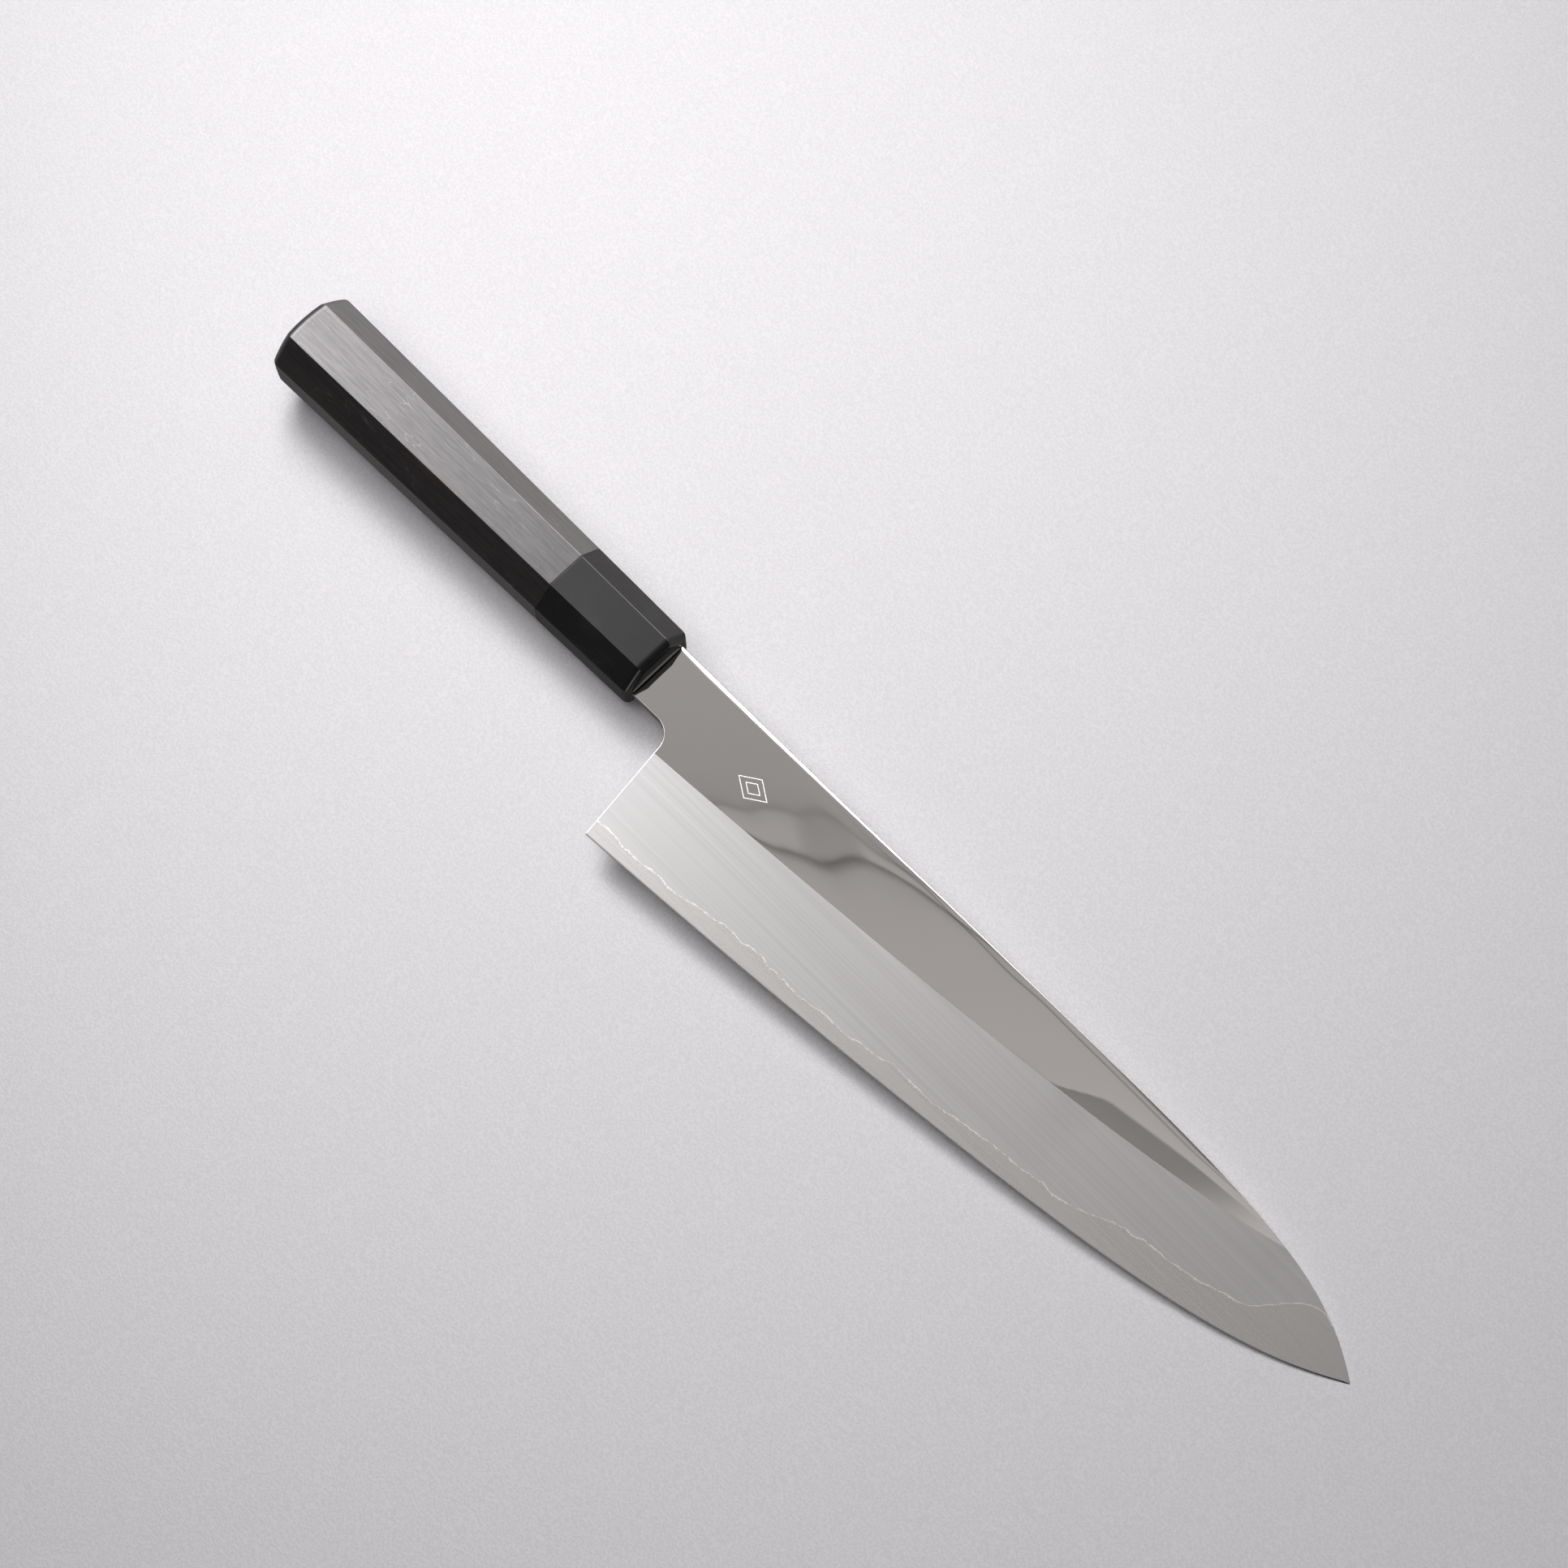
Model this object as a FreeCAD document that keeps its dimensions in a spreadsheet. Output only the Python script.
import FreeCAD, Part
import os
import Sketcher

# Chef knife: a three-layer gyuto with a 240 mm edge and an octagonal handle.
# Knife axes: X runs from the butt to the tip, with zero at the ferrule's front face.
# Y runs from the cutting edge to the spine, with zero on the handle's axis.
# Z is square to the blade, with zero at the blade's middle plane.
# The construction stays in those axes. Each finished piece is then shifted so that the
# origin lies below the middle of the whole knife as it lies on its side.

Vector = FreeCAD.Vector
document = FreeCAD.newDocument("chef_knife")

# ---------------------------------------------------------------- driving dimensions, mm
DIMENSIONS = (
    ("handle_length", 138.4, "butt to the ferrule's front face"),
    ("ferrule_length", 34.5, "glue line to the ferrule's front face"),
    ("butt_height", 27.0, "handle along Y at the butt"),
    ("butt_thickness", 23.7, "handle along Z at the butt"),
    ("butt_facet", 6.9, "leg of the diagonal facets at the butt"),
    ("front_height", 22.9, "handle along Y at the front"),
    ("front_thickness", 21.3, "handle along Z at the front"),
    ("front_facet", 6.0, "leg of the diagonal facets at the front"),
    ("dome_radius", 42.0, "crown of the butt"),
    ("butt_rounding", 2.4, "softened edge around the butt"),
    ("front_rounding", 2.3, "rounded edge around the ferrule's front"),
    ("glue_line", 0.15, "glue between handle body and ferrule"),
    ("bore_diameter", 13.0, "bore for the dowel"),
    ("front_wall", 4.0, "ferrule left in front of the bore"),
    ("dowel_diameter", 12.9, "slotted dowel"),
    ("dowel_length", 90.0, "slotted dowel"),
    ("dowel_chamfer", 0.8, "chamfer on the dowel's rear end"),
    ("slot_width", 4.2, "saw slot in the dowel"),
    ("slot_length", 84.0, "saw slot in the dowel"),
    ("tang_length", 85.0, "tang behind the ferrule's front face"),
    ("tang_root", 10.5, "tang height where it meets the neck"),
    ("tang_end", 6.0, "tang height at its end"),
    ("neck_insert", 1.5, "depth that the neck goes into the ferrule"),
    ("neck_top", 9.25, "spine above the handle's axis at the ferrule"),
    ("neck_bottom", 9.6, "neck below the handle's axis"),
    ("choil_radius", 6.0, "round between neck and choil"),
    ("choil_lean", 5.9, "lean of the choil from square, in degrees"),
    ("heel_x", 18.4, "heel in front of the ferrule"),
    ("heel_drop", 44.9, "heel below the handle's axis"),
    ("edge_run_x", 210.0, "edge curve, pull of its straight part"),
    ("edge_run_drop", 33.6, "edge curve, pull of its straight part"),
    ("edge_rise_x", 234.2, "edge curve, pull of its rise to the tip"),
    ("edge_rise_drop", 20.7, "edge curve, pull of its rise to the tip"),
    ("tip_x", 255.9, "tip in front of the ferrule"),
    ("tip_drop", 8.7, "tip below the handle's axis"),
    ("spine_run_x", 193.3, "spine curve, pull of its straight part"),
    ("spine_run_y", 7.1, "spine curve, pull of its straight part"),
    ("spine_fall_x", 225.7, "spine curve, pull of its fall to the tip"),
    ("spine_fall_y", 13.4, "spine curve, pull of its fall to the tip"),
    ("spine_thickness", 3.6, "spine at the neck"),
    ("tip_thickness", 1.2, "spine at the tip"),
    ("flat_lean", 0.023, "rise of each flat per mm towards the spine"),
    ("bevel_heel", 28.2, "width of the bevel at the heel"),
    ("bevel_tip", 27.0, "width of the bevel at the tip"),
    ("edge_thickness", 0.12, "steel left at the cutting edge"),
    ("edge_overrun", 1.0, "how far the ground section runs past the edge before trimming"),
    ("flat_run", 40.0, "how far the ground section runs above the bevel before trimming"),
    ("core_thickness", 0.4, "hard steel core"),
)

sheet = document.addObject("Spreadsheet::Sheet", "Sizes")
for row, (alias, value, meaning) in enumerate(DIMENSIONS, start=1):
    sheet.set("A%d" % row, alias)
    sheet.set("B%d" % row, str(value))
    sheet.set("C%d" % row, meaning)
    sheet.setAlias("B%d" % row, alias)
document.recompute()
SIZE = {alias: value for alias, value, meaning in DIMENSIONS}


# ---------------------------------------------------------------- small helpers
def bind(item, **formulas):
    """Drive properties of an object from the sheet; double underscores stand for dots."""
    for name, formula in formulas.items():
        item.setExpression(name.replace("__", "."), formula)


def primitive(kind, name, **formulas):
    """A Part primitive whose sizes come from the sheet."""
    item = document.addObject(kind, name)
    bind(item, **formulas)
    return item


def boolean(kind, name, base, tool):
    """Part::Cut, Part::Common or Part::Fuse of two objects."""
    item = document.addObject(kind, name)
    item.Base = base
    item.Tool = tool
    return item


def body_named(name):
    return document.addObject("PartDesign::Body", name)


def sketch_on(body, role, name):
    """A sketch on one of the body's own origin planes."""
    sketch = body.newObject("Sketcher::SketchObject", name)
    planes = [feature for feature in body.Origin.OriginFeatures if feature.Role == role]
    sketch.AttachmentSupport = [(planes[0], "")]
    sketch.MapMode = "FlatFace"
    return sketch


def evaluate(formula):
    """The present value of a formula over the sheet."""
    return float(sheet.evalExpression(formula.replace("Sizes.", "")))


def pin_point(sketch, geometry, position, name, x_formula, y_formula):
    """Fix one sketch point by two named constraints that follow the sheet."""
    for axis, formula in (("X", x_formula), ("Y", y_formula)):
        label = "%s_%s" % (name, axis.lower())
        rule = Sketcher.Constraint("Distance" + axis, -1, 1, geometry, position, evaluate(formula))
        sketch.addConstraint(rule)
        sketch.renameConstraint(sketch.ConstraintCount - 1, label)
        sketch.setExpression("Constraints." + label, formula)


def coincide(sketch, first, first_end, second, second_end):
    sketch.addConstraint(Sketcher.Constraint("Coincident", first, first_end, second, second_end))


def polygon(sketch, corners):
    """A closed polygon whose corners (name, x formula, y formula) follow the sheet."""
    points = [Vector(evaluate(x), evaluate(y), 0) for name, x, y in corners]
    count = len(points)
    for index in range(count):
        sketch.addGeometry(Part.LineSegment(points[index], points[(index + 1) % count]), False)
    for index in range(count):
        coincide(sketch, index, 2, (index + 1) % count, 1)
    for index, (name, x, y) in enumerate(corners):
        pin_point(sketch, index, 1, name, x, y)


def pulled_curve(sketch, name, poles):
    """A smooth curve from its first pole to its last, drawn towards the two between them."""
    points = [Vector(evaluate(x), evaluate(y), 0) for x, y in poles]
    curve = Part.BSplineCurve()
    curve.buildFromPolesMultsKnots(points, [4, 4], [0, 1], False, 3)
    geometry = sketch.addGeometry(curve, False)
    sketch.exposeInternalGeometry(geometry)
    for index, (x, y) in enumerate(poles):
        pin_point(sketch, geometry + 1 + index, 3, "%s_%d" % (name, index), x, y)
    return geometry


# ---------------------------------------------------------------- blade outline
EDGE_POLES = (
    ("Sizes.heel_x", "-Sizes.heel_drop"),
    ("Sizes.edge_run_x", "-Sizes.edge_run_drop"),
    ("Sizes.edge_rise_x", "-Sizes.edge_rise_drop"),
    ("Sizes.tip_x", "-Sizes.tip_drop"),
)
SPINE_POLES = (
    ("Sizes.tip_x", "-Sizes.tip_drop"),
    ("Sizes.spine_fall_x", "Sizes.spine_fall_y"),
    ("Sizes.spine_run_x", "Sizes.spine_run_y"),
    ("0", "Sizes.neck_top"),
)


# ---------------------------------------------------------------- blade, seen from its side
CORNER_X = (
    "Sizes.heel_x - Sizes.choil_radius / cos(Sizes.choil_lean)"
    " - (Sizes.heel_drop - Sizes.neck_bottom - Sizes.choil_radius) * tan(Sizes.choil_lean)"
)
CORNER_Y = "-Sizes.neck_bottom - Sizes.choil_radius"
ROUND_FOOT_X = CORNER_X + " + Sizes.choil_radius * cos(Sizes.choil_lean)"
ROUND_FOOT_Y = CORNER_Y + " + Sizes.choil_radius * sin(Sizes.choil_lean)"
TANG_CORNERS = (
    ("spine_start", "0", "Sizes.neck_top"),
    ("neck_head", "-Sizes.neck_insert", "Sizes.neck_top"),
    ("root_head", "-Sizes.neck_insert", "Sizes.tang_root / 2"),
    ("tang_head", "-Sizes.tang_length", "Sizes.tang_end / 2"),
    ("tang_foot", "-Sizes.tang_length", "-Sizes.tang_end / 2"),
    ("root_foot", "-Sizes.neck_insert", "-Sizes.tang_root / 2"),
    ("neck_foot", "-Sizes.neck_insert", "-Sizes.neck_bottom"),
    ("round_head", CORNER_X, "-Sizes.neck_bottom"),
)


def place_of(x_formula, y_formula):
    return Vector(evaluate(x_formula), evaluate(y_formula), 0)


def blade_outline(body):
    """Tang, neck, choil, edge, tip and spine, in the blade's middle plane."""
    sketch = sketch_on(body, "XY_Plane", "BladeOutline")
    points = [place_of(x, y) for name, x, y in TANG_CORNERS]
    for start, end in zip(points, points[1:]):
        sketch.addGeometry(Part.LineSegment(start, end), False)
    last_line = len(points) - 2
    for index in range(last_line):
        coincide(sketch, index, 2, index + 1, 1)
        name, x, y = TANG_CORNERS[index + 1]
        pin_point(sketch, index, 2, name, x, y)
    pin_point(sketch, last_line, 2, *TANG_CORNERS[-1])
    centre = place_of(CORNER_X, CORNER_Y)
    foot = place_of(ROUND_FOOT_X, ROUND_FOOT_Y)
    heel = place_of(*EDGE_POLES[0])
    circle = Part.Circle(centre, Vector(0, 0, 1), SIZE["choil_radius"])
    arc = Part.ArcOfCircle(circle, circle.parameter(foot), circle.parameter(points[-1]))
    corner = sketch.addGeometry(arc, False)
    coincide(sketch, corner, 2, last_line, 2)
    pin_point(sketch, corner, 1, "round_foot", ROUND_FOOT_X, ROUND_FOOT_Y)
    sketch.addConstraint(Sketcher.Constraint("Radius", corner, SIZE["choil_radius"]))
    sketch.renameConstraint(sketch.ConstraintCount - 1, "choil_radius")
    sketch.setExpression("Constraints.choil_radius", "Sizes.choil_radius")
    choil = sketch.addGeometry(Part.LineSegment(foot, heel), False)
    coincide(sketch, corner, 1, choil, 1)
    edge = pulled_curve(sketch, "edge", EDGE_POLES)
    coincide(sketch, choil, 2, edge, 1)
    spine = pulled_curve(sketch, "spine", SPINE_POLES)
    coincide(sketch, spine, 2, 0, 1)
    return sketch


def pad(body, name, sketch, length, side="One side", reverse=False):
    feature = body.newObject("PartDesign::Pad", name)
    feature.Profile = sketch
    feature.SideType = side
    feature.Reversed = reverse
    feature.setExpression("Length", length)
    return feature


blank = body_named("BladeBlank")
pad(blank, "BlankPad", blade_outline(blank), "2 * Sizes.spine_thickness", side="Symmetric")

# ---------------------------------------------------------------- blade, seen in section
# Share of the way along the edge curve at which the blade's section is drawn. The first
# section lies behind the heel and the last beyond the tip.
STATIONS = (-0.02, 0.07, 0.17, 0.32, 0.55, 0.8, 1.02)


def on_curve(poles, axis, share):
    """Formula of one coordinate on a pulled curve, at a share of the way along it."""
    rest = 1 - share
    weights = (rest**3, 3 * rest**2 * share, 3 * rest * share**2, share**3)
    return " + ".join("%.8f * (%s)" % (weight, pole[axis]) for weight, pole in zip(weights, poles))


def section_formulas(share):
    """Corner formulas of the ground section: edge side, bevel border and spine side."""
    x = on_curve(EDGE_POLES, 0, share)
    edge_y = on_curve(EDGE_POLES, 1, share)
    width = "(Sizes.bevel_heel + (Sizes.bevel_tip - Sizes.bevel_heel) * %.3f)" % share
    border_y = "(%s + %s)" % (edge_y, width)
    taper = "(Sizes.tip_thickness - Sizes.spine_thickness) * (%s) / Sizes.tip_x" % x
    spine_z = "(Sizes.spine_thickness + %s) / 2" % taper
    border_z = "(%s - Sizes.flat_lean * (Sizes.neck_top - %s))" % (spine_z, border_y)
    slope = "(%s - Sizes.edge_thickness / 2) / %s" % (border_z, width)
    low_y = "%s - Sizes.edge_overrun" % edge_y
    low_z = "(Sizes.edge_thickness / 2 - %s * Sizes.edge_overrun)" % slope
    high_y = "%s + Sizes.flat_run" % border_y
    high_z = "(%s + Sizes.flat_lean * Sizes.flat_run)" % border_z
    return x, (
        ("low_right", low_y, low_z),
        ("border_right", border_y, border_z),
        ("high_right", high_y, high_z),
        ("high_left", high_y, "-" + high_z),
        ("border_left", border_y, "-" + border_z),
        ("low_left", low_y, "-" + low_z),
    )


def section_sketch(body, index, share):
    sketch = sketch_on(body, "YZ_Plane", "Section%d" % index)
    x, corners = section_formulas(share)
    sketch.setExpression("AttachmentOffset.Base.z", x)
    polygon(sketch, corners)
    return sketch


grind = body_named("BladeGrind")
sections = [section_sketch(grind, index, share) for index, share in enumerate(STATIONS)]
pad(grind, "TangGrind", sections[0], "Sizes.tang_length + Sizes.heel_x", reverse=True)
bevels = grind.newObject("PartDesign::AdditiveLoft", "BladeBevels")
bevels.Profile = sections[0]
bevels.Sections = sections[1:]
document.recompute()

blade = boolean("Part::Common", "BladeForm", blank, grind)


def blade_layer(name, floor, height):
    """The part of the blade between two planes parallel to its middle plane."""
    slab = primitive(
        "Part::Box",
        name + "_slab",
        Length="Sizes.tang_length + Sizes.tip_x + 2 * Sizes.edge_overrun",
        Width="Sizes.heel_drop + Sizes.neck_top + 2 * Sizes.edge_overrun",
        Height=height,
        Placement__Base__x="-Sizes.tang_length - Sizes.edge_overrun",
        Placement__Base__y="-Sizes.heel_drop - Sizes.edge_overrun",
        Placement__Base__z=floor,
    )
    return boolean("Part::Common", name, blade, slab)


core = blade_layer("blade_core", "-Sizes.core_thickness / 2", "Sizes.core_thickness")
right = blade_layer("cladding_right", "Sizes.core_thickness / 2", "Sizes.spine_thickness")
left = blade_layer(
    "cladding_left", "-Sizes.core_thickness / 2 - Sizes.spine_thickness", "Sizes.spine_thickness"
)


# ---------------------------------------------------------------- handle
def tapered_bar(name, rear_y, rear_z, front_y, front_z, roll):
    """A four-sided bar along X that tapers evenly from the butt to the ferrule's front."""
    bar = primitive(
        "Part::Wedge",
        name,
        Ymin="-Sizes.handle_length",
        Ymax="0",
        Xmin="-(%s) / 2" % rear_y,
        Xmax="(%s) / 2" % rear_y,
        Zmin="-(%s) / 2" % rear_z,
        Zmax="(%s) / 2" % rear_z,
        X2min="-(%s) / 2" % front_y,
        X2max="(%s) / 2" % front_y,
        Z2min="-(%s) / 2" % front_z,
        Z2max="(%s) / 2" % front_z,
    )
    along_x = FreeCAD.Rotation(Vector(0, 0, 1), -90)
    bar.Placement = FreeCAD.Placement(Vector(), FreeCAD.Rotation(Vector(1, 0, 0), roll) * along_x)
    return bar


def across_facets(end):
    """Distance between opposite diagonal facets at one end of the handle."""
    words = {"end": end}
    return "(Sizes.%(end)s_height + Sizes.%(end)s_thickness - 2 * Sizes.%(end)s_facet) / sqrt(2)" % words


square_bar = tapered_bar(
    "SquareBar",
    "Sizes.butt_height",
    "Sizes.butt_thickness",
    "Sizes.front_height",
    "Sizes.front_thickness",
    roll=0,
)
facet_bar = tapered_bar(
    "FacetBar",
    across_facets("butt"),
    across_facets("butt"),
    across_facets("front"),
    across_facets("front"),
    roll=45,
)
octagon = boolean("Part::Common", "OctagonalBar", square_bar, facet_bar)


def rod(name, diameter, start, length):
    """A round rod along X from its rear end."""
    item = primitive("Part::Cylinder", name, Radius=diameter + " / 2", Height=length)
    bind(item, Placement__Base__x=start)
    item.Placement = FreeCAD.Placement(item.Placement.Base, FreeCAD.Rotation(Vector(0, 1, 0), 90))
    return item


crown_ball = primitive(
    "Part::Sphere",
    "CrownBall",
    Radius="Sizes.dome_radius",
    Placement__Base__x="Sizes.dome_radius - Sizes.handle_length",
)
crown_rod = rod(
    "CrownRod", "2 * Sizes.dome_radius", "Sizes.dome_radius - Sizes.handle_length", "Sizes.handle_length"
)
crown = boolean("Part::Fuse", "ButtCrown", crown_ball, crown_rod)
handle_form = boolean("Part::Common", "HandleForm", octagon, crown)


def handle_stretch(name, start, end):
    """The handle form between two places along X."""
    block = primitive(
        "Part::Box",
        name + "_block",
        Length="(%s) - (%s)" % (end, start),
        Width="2 * Sizes.butt_height",
        Height="2 * Sizes.butt_height",
        Placement__Base__x=start,
        Placement__Base__y="-Sizes.butt_height",
        Placement__Base__z="-Sizes.butt_height",
    )
    return boolean("Part::Common", name + "_stretch", handle_form, block)


GLUE_REAR = "-Sizes.ferrule_length - Sizes.glue_line / 2"
GLUE_FRONT = "-Sizes.ferrule_length + Sizes.glue_line / 2"
body_stretch = handle_stretch("handle_body", "-2 * Sizes.handle_length", GLUE_REAR)
glue_stretch = handle_stretch("joint_glue", GLUE_REAR, GLUE_FRONT)
ferrule_stretch = handle_stretch("ferrule", GLUE_FRONT, "Sizes.ferrule_length")
document.recompute()


def rounded_end(name, base, radius, is_end):
    """Round the edges that the test picks out by their middle point."""
    item = document.addObject("Part::Fillet", name)
    item.Base = base
    edges = enumerate(base.Shape.Edges, start=1)
    item.Edges = [(index, radius, radius) for index, edge in edges if is_end(edge)]
    return item


def on_ferrule_front(edge):
    return abs(edge.BoundBox.XMin) < 1e-6 and abs(edge.BoundBox.XMax) < 1e-6


def on_butt(edge):
    """Edges between the crown and the facets stay within a few mm of the butt."""
    return edge.BoundBox.XMax < SIZE["butt_rounding"] * 2 - SIZE["handle_length"]


ferrule_round = rounded_end("FerruleRound", ferrule_stretch, SIZE["front_rounding"], on_ferrule_front)
body_round = rounded_end("BodyRound", body_stretch, SIZE["butt_rounding"], on_butt)

dowel_rear = "-Sizes.front_wall - Sizes.dowel_length"
bore = rod("DowelBore", "Sizes.bore_diameter", dowel_rear, "Sizes.dowel_length")
handle_body = boolean("Part::Cut", "handle_body", body_round, bore)
joint_glue = boolean("Part::Cut", "joint_glue", glue_stretch, bore)
bored_ferrule = boolean("Part::Cut", "BoredFerrule", ferrule_round, bore)
ferrule = boolean("Part::Cut", "ferrule", bored_ferrule, blade)


# ---------------------------------------------------------------- dowel and its adhesive
def slotted_dowel():
    """A round dowel, chamfered behind, with a saw slot from its front for the tang."""
    body = body_named("tang_dowel")
    circle = sketch_on(body, "YZ_Plane", "DowelCircle")
    circle.setExpression("AttachmentOffset.Base.z", "-Sizes.front_wall")
    circle.addGeometry(Part.Circle(Vector(), Vector(0, 0, 1), SIZE["dowel_diameter"] / 2), False)
    circle.addConstraint(Sketcher.Constraint("Coincident", 0, 3, -1, 1))
    circle.addConstraint(Sketcher.Constraint("Diameter", 0, SIZE["dowel_diameter"]))
    circle.renameConstraint(1, "diameter")
    circle.setExpression("Constraints.diameter", "Sizes.dowel_diameter")
    round_bar = pad(body, "DowelPad", circle, "Sizes.dowel_length", reverse=True)
    document.recompute()
    ends = [edge.BoundBox.XMax for edge in round_bar.Shape.Edges]
    chamfer = body.newObject("PartDesign::Chamfer", "RearChamfer")
    chamfer.Base = (round_bar, ["Edge%d" % (ends.index(min(ends)) + 1)])
    chamfer.setExpression("Size", "Sizes.dowel_chamfer")
    document.recompute()
    whole = body.Shape.Volume
    slot = sketch_on(body, "XZ_Plane", "SlotOutline")
    slot_rear = "-Sizes.front_wall - Sizes.slot_length"
    half = "Sizes.slot_width / 2"
    corners = (
        ("rear_low", slot_rear, "-" + half),
        ("front_low", "0", "-" + half),
        ("front_high", "0", half),
        ("rear_high", slot_rear, half),
    )
    polygon(slot, corners)
    cut = body.newObject("PartDesign::Pocket", "SawSlot")
    cut.Profile = slot
    cut.SideType = "Symmetric"
    cut.Type = "ThroughAll"
    document.recompute()
    if body.Shape.Volume > whole - SIZE["slot_length"] * SIZE["slot_width"]:
        raise SystemExit("the saw slot cut nothing")
    return body


dowel = slotted_dowel()
slot_box = primitive(
    "Part::Box",
    "SlotBox",
    Length="Sizes.slot_length",
    Width="Sizes.dowel_diameter",
    Height="Sizes.slot_width",
    Placement__Base__x="-Sizes.front_wall - Sizes.slot_length",
    Placement__Base__y="-Sizes.dowel_diameter / 2",
    Placement__Base__z="-Sizes.slot_width / 2",
)
slot_rod = rod(
    "SlotRod", "Sizes.dowel_diameter", "-Sizes.front_wall - Sizes.slot_length", "Sizes.slot_length"
)
slot_fill = boolean("Part::Common", "SlotFill", slot_box, slot_rod)
adhesive = boolean("Part::Cut", "tang_adhesive", slot_fill, blade)

# ---------------------------------------------------------------- finished pieces
PIECES = {
    "blade_core": core,
    "cladding_right": right,
    "cladding_left": left,
    "handle_body": handle_body,
    "ferrule": ferrule,
    "joint_glue": joint_glue,
    "tang_dowel": dowel,
    "tang_adhesive": adhesive,
}
for node, piece in PIECES.items():
    piece.Label = node
    bind(
        piece,
        Placement__Base__x="(Sizes.handle_length - Sizes.tip_x) / 2",
        Placement__Base__y="(Sizes.heel_drop - Sizes.butt_height / 2) / 2",
        Placement__Base__z="Sizes.butt_thickness / 2",
    )
document.recompute()

for item in document.Objects:
    if "Invalid" in item.State or "Error" in item.State:
        raise SystemExit("failed: %s %s" % (item.Name, item.State))
for node, piece in PIECES.items():
    shape = piece.Shape
    if shape.isNull() or not shape.isValid() or len(shape.Solids) != 1:
        raise SystemExit("bad shape: " + node)

os.makedirs("parts", exist_ok=True)
for node, piece in PIECES.items():
    piece.Shape.exportStep("parts/%s.step" % node)
    box = piece.Shape.optimalBoundingBox(False)
    corners = (node, piece.Shape.Volume, box.XMin, box.XMax, box.YMin, box.YMax, box.ZMin, box.ZMax)
    print("%-15s %8.1f mm3  x %7.2f %7.2f  y %6.2f %6.2f  z %5.2f %5.2f" % corners)
